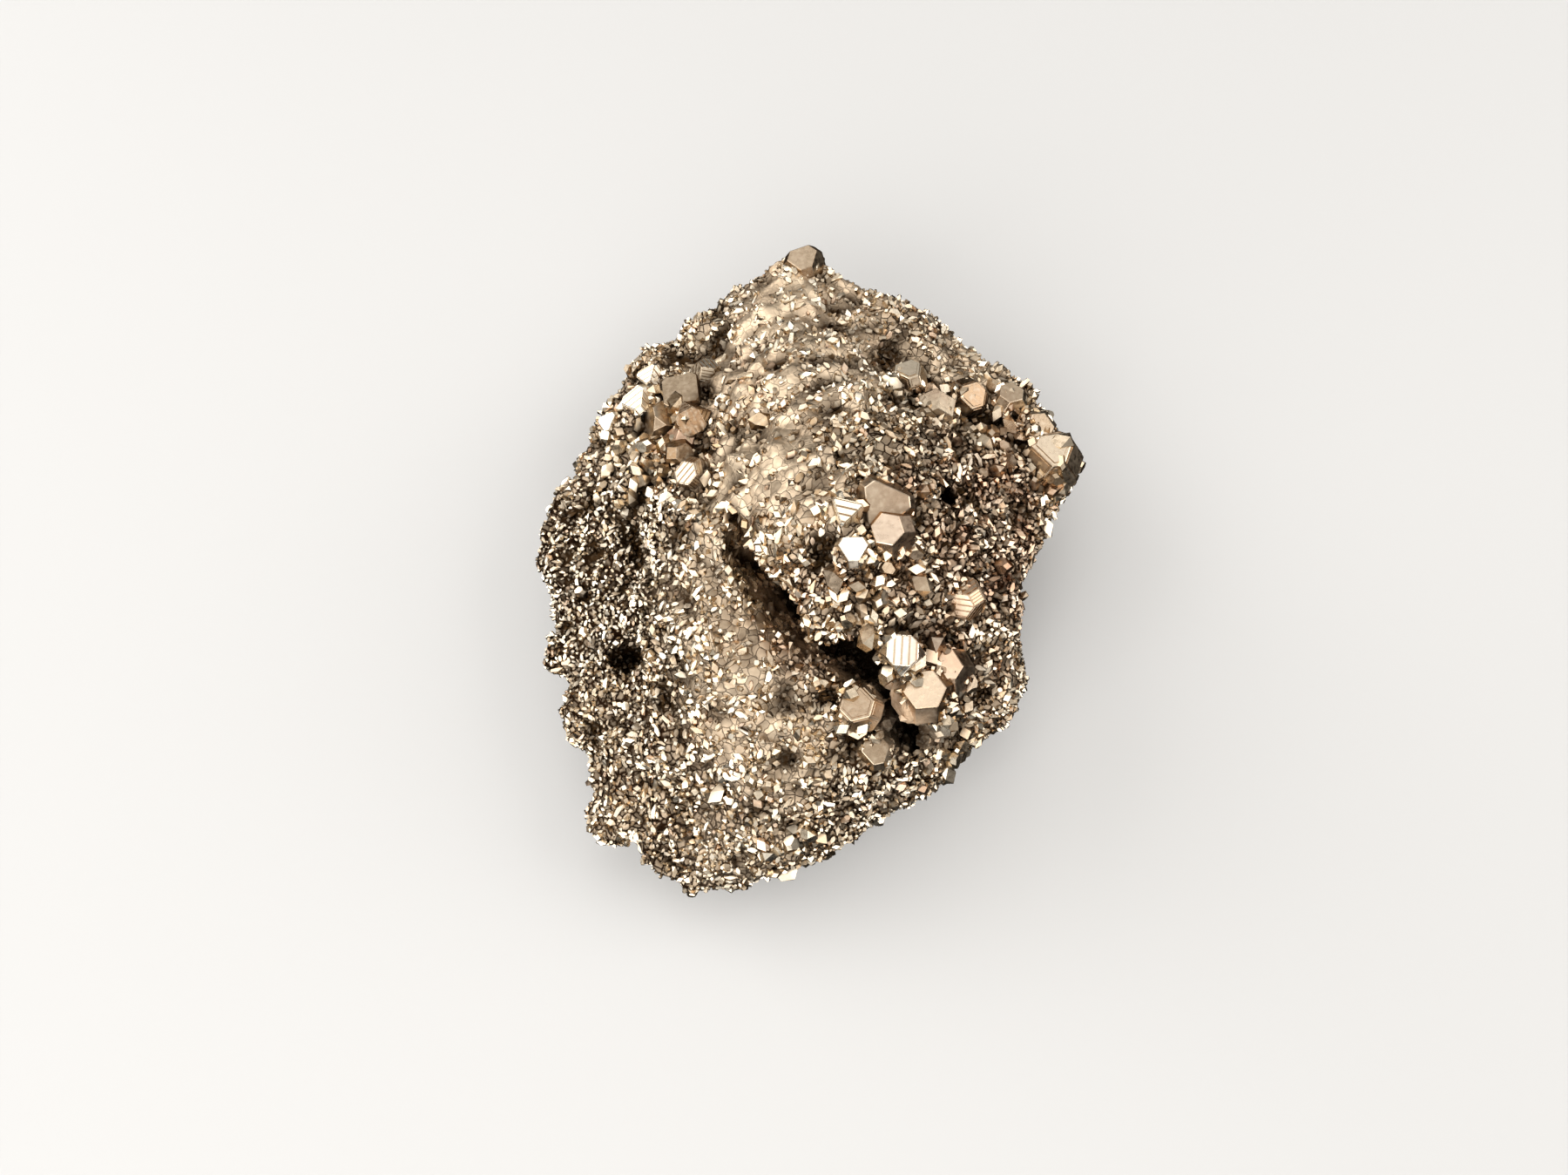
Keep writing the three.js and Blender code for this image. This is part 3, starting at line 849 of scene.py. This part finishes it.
# Others lie with their widest face up, leaning the way the slope does.
slope = g.add("ShaderNodeSeparateXYZ", None, {"Vector": spots["Normal"]})
lean = either(UPWARD, LEFTWARD, slope["X"] < -0.3)
lean = either(lean, RIGHTWARD, slope["X"] > 0.4)
lean = either(lean, NEARWARD, slope["Y"] < -0.5)
wobble = chance_of((-0.16, -0.16, 0.0), (0.16, 0.16, 0.0), 9, "FLOAT_VECTOR")
lean = {"Vector": g.vector("ADD", lean, wobble)}
flat = g.add("FunctionNodeAlignRotationToVector", {"axis": "Z"}, lean)["Rotation"]
spin = {"Axis": (0, 0, 1), "Angle": chance_of(0.0, 6.28, 10)}
spun = g.add("FunctionNodeAxisAngleToRotation", None, spin)["Rotation"]
settings = {"rotation_space": "LOCAL"}
turns = {"Rotation": flat, "Rotate By": spun}
flat = g.add("FunctionNodeRotateRotation", settings, turns)["Rotation"]
lies_flat = chance_of(0.0, 1.0, 11) < 0.34 + smooth * 0.3 + fine * 0.2
picked = {"Collection": g.given["Forms"], "Separate Children": True, "Reset Children": True}
stood = g.add(
    "GeometryNodeInstanceOnPoints",
    None,
    {
        "Points": sized,
        "Instance": g.add("GeometryNodeCollectionInfo", None, picked)["Instances"],
        "Pick Instance": True,
        "Instance Index": chance_of(0, g.given["Kinds"] - 1, 5, "INT"),
        "Rotation": either(tumbled, flat, lies_flat, "ROTATION"),
        "Scale": g.read("size") * MM,
    },
)["Instances"]

# Each has its own brightness, and its own cell in the map.
marked = g.store(stood, "tint", chance_of(0.0, 1.0, 6), "INSTANCE")
marked = g.store(marked, "rosy", (chance_of(0.0, 1.0, 7) > 0.94) * 0.6, "INSTANCE")
marked = g.store(marked, "cell", g.add("GeometryNodeInputIndex")["Index"], "INSTANCE")
settings = {"component": "INSTANCES"}
counted = g.add("GeometryNodeAttributeDomainSize", settings, {"Geometry": marked})
many = counted["Instance Count"]
real = g.add("GeometryNodeRealizeInstances", None, {"Geometry": marked})["Geometry"]
across = (many ** 0.5).maths("CEIL", many ** 0.5)
cell = g.read("cell")
column = cell.maths("MODULO", cell, across)
row = cell.maths("FLOOR", cell / across)
inside = g.add("ShaderNodeSeparateXYZ", None, {"Vector": g.read("OFBake", "FLOAT_VECTOR")})
corner = {
    "X": (column + inside["X"] * CELL_FILL) / across,
    "Y": (row + inside["Y"] * CELL_FILL) / across,
}
corner = g.add("ShaderNodeCombineXYZ", None, corner)["Vector"]
mapped = g.store(real, "OFBake", corner, "CORNER", "FLOAT2")
# Each face is a little brighter or darker at random, partly a tone of its own and partly a painted
# reflection.
tint = g.read("tint") * 0.65 + chance_of(0.0, 1.0, 8) * 0.35
faceted = g.store(mapped, "tint", tint + smooth * 0.15 + fine * 0.2 - bold * 0.3, "FACE")
g.end(crust_depth(g, faceted, g.read("size")))

sugar = pyrite(
    "small_crystal_crust",
    brass=[
        (0.0, (0.38, 0.26, 0.15)),
        (0.3, (0.66, 0.51, 0.35)),
        (0.6, (0.82, 0.68, 0.50)),
        (1.0, (0.94, 0.84, 0.68)),
    ],
    shade=(0.022, 0.010, 0.004),
    gloss=(0.2, 0.36),
    gap=(0.09, 0.34),
)
small_forms = forms("small_forms", SMALL_SHAPES)
medium_forms = forms("medium_forms", MEDIUM_SHAPES)
HEADINGS = {
    # from the positive X axis, in radians
    "near_left": (-3.15, -2.0),
    "near": (-2.0, -1.1),
    "near_right": (-1.1, -0.1),
    "far_right": (-0.1, 1.5),
    "far_left": (1.5, 3.15),
}
small = {
    "Forms": small_forms,
    "Kinds": len(SMALL_SHAPES),
    "Spacing": 0.41 * MM,
    "Smallest": 0.41 * MM,
    "Largest": 0.86 * MM,
    "Bareness": 0.92,
    "Coarseness": 0.0,
    "Seed": 7,
}
medium = {
    "Forms": medium_forms,
    "Kinds": len(MEDIUM_SHAPES),
    "Spacing": 1.3 * MM,
    "Smallest": 0.9 * MM,
    "Largest": 1.9 * MM,
    "Bareness": 0.9,
    "Coarseness": 0.95,
    "Seed": 21,
}
layers = {"small_crystals_" + side: (small, span) for side, span in HEADINGS.items()}
layers["medium_crystals"] = (medium, (-3.15, 3.15))
for name, (kind, span) in layers.items():
    around = {"Body": body, "Large": large, "Material": sugar}
    headings = {"From Heading": span[0], "To Heading": span[1]}
    piece = crust.cook(body.data, name, **kind, **around, **headings)
    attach(piece, "root")
bpy.data.objects.remove(large_shape)

# ------------------------------------------------------------------ the studio
# A pale table under soft lamps. The camera looks down steeply from the near side, as a person
# holding it over the table would.
LENS, FILM = 24.26, 36.0
EYE = Vector((3.33, -39.53, 113.33)) * MM + DRAWN_TO_FRAME
LOOKED_AT = Vector((-2.5, -0.5, 0)) * MM + DRAWN_TO_FRAME
floor_mesh = bpy.data.meshes.new("table")
floor_mesh.from_pydata([(-3, -3, 0), (3, -3, 0), (3, 3, 0), (-3, 3, 0)], [], [(0, 1, 2, 3)])
floor = bpy.data.objects.new("table", floor_mesh)
bpy.context.scene.collection.objects.link(floor)
paint = bpy.data.materials.new("pale_table")
paint.use_nodes = True
matt = paint.node_tree.nodes["Principled BSDF"]
matt.inputs["Base Color"].default_value = (0.60, 0.59, 0.575, 1)
matt.inputs["Roughness"].default_value = 0.8
floor_mesh.materials.append(paint)
floor.visible_glossy = False


def lamp(name, place, side, radiance, aim=(0, 0, 0.015)):
    """A square soft lamp of a given brightness, aimed at the specimen."""
    light = bpy.data.lights.new(name, "AREA")
    light.size = side
    light.energy = radiance * math.pi * side**2
    thing = bpy.data.objects.new(name, light)
    thing.location = place
    thing.rotation_euler = (Vector(aim) - Vector(place)).to_track_quat("-Z", "Y").to_euler()
    bpy.context.scene.collection.objects.link(thing)


lamp("top", (-0.03, 0.17, 0.47), 0.28, 1.35)
lamp("left", (-0.40, 0.16, 0.28), 0.38, 2.9)
lamp("right", (0.40, 0.04, 0.30), 0.33, 2.8)
lamp("near", (-0.04, -0.40, 0.26), 0.32, 2.6)
lamp("near_left", (-0.29, -0.31, 0.25), 0.27, 2.9)

world = bpy.data.worlds.new("room")
bpy.context.scene.world = world
world.use_nodes = True
w = Graph(world.node_tree)
w.tree.nodes.clear()
up = w.add("ShaderNodeSeparateXYZ", None, {"Vector": w.add("ShaderNodeTexCoord")["Generated"]})["Z"]
# The room is dim near the floor and bright near the ceiling.
heights = {"From Min": -0.2, "From Max": 0.75}
levels = {"To Min": 0.03, "To Max": 0.76}
level = w.add("ShaderNodeMapRange", None, {"Value": up, **heights, **levels})["Result"]
warm = {"Color": (1, 0.985, 0.96, 1), "Strength": level}
glow = w.add("ShaderNodeBackground", None, warm)["Background"]
w.add("ShaderNodeOutputWorld", None, {"Surface": glow})

camera = bpy.data.objects.new("camera", bpy.data.cameras.new("camera"))
camera.data.lens = LENS
camera.data.sensor_width = FILM
camera.data.clip_start = 0.005
ahead = (LOOKED_AT - EYE).normalized()
right = ahead.cross(Vector((0, 1, 0))).normalized()
stance = Matrix((right, right.cross(ahead), -ahead)).transposed()
camera.matrix_world = Matrix.Translation(EYE) @ stance.to_4x4()
bpy.context.scene.collection.objects.link(camera)
bpy.context.scene.camera = camera
bpy.context.scene.view_settings.view_transform = "Standard"
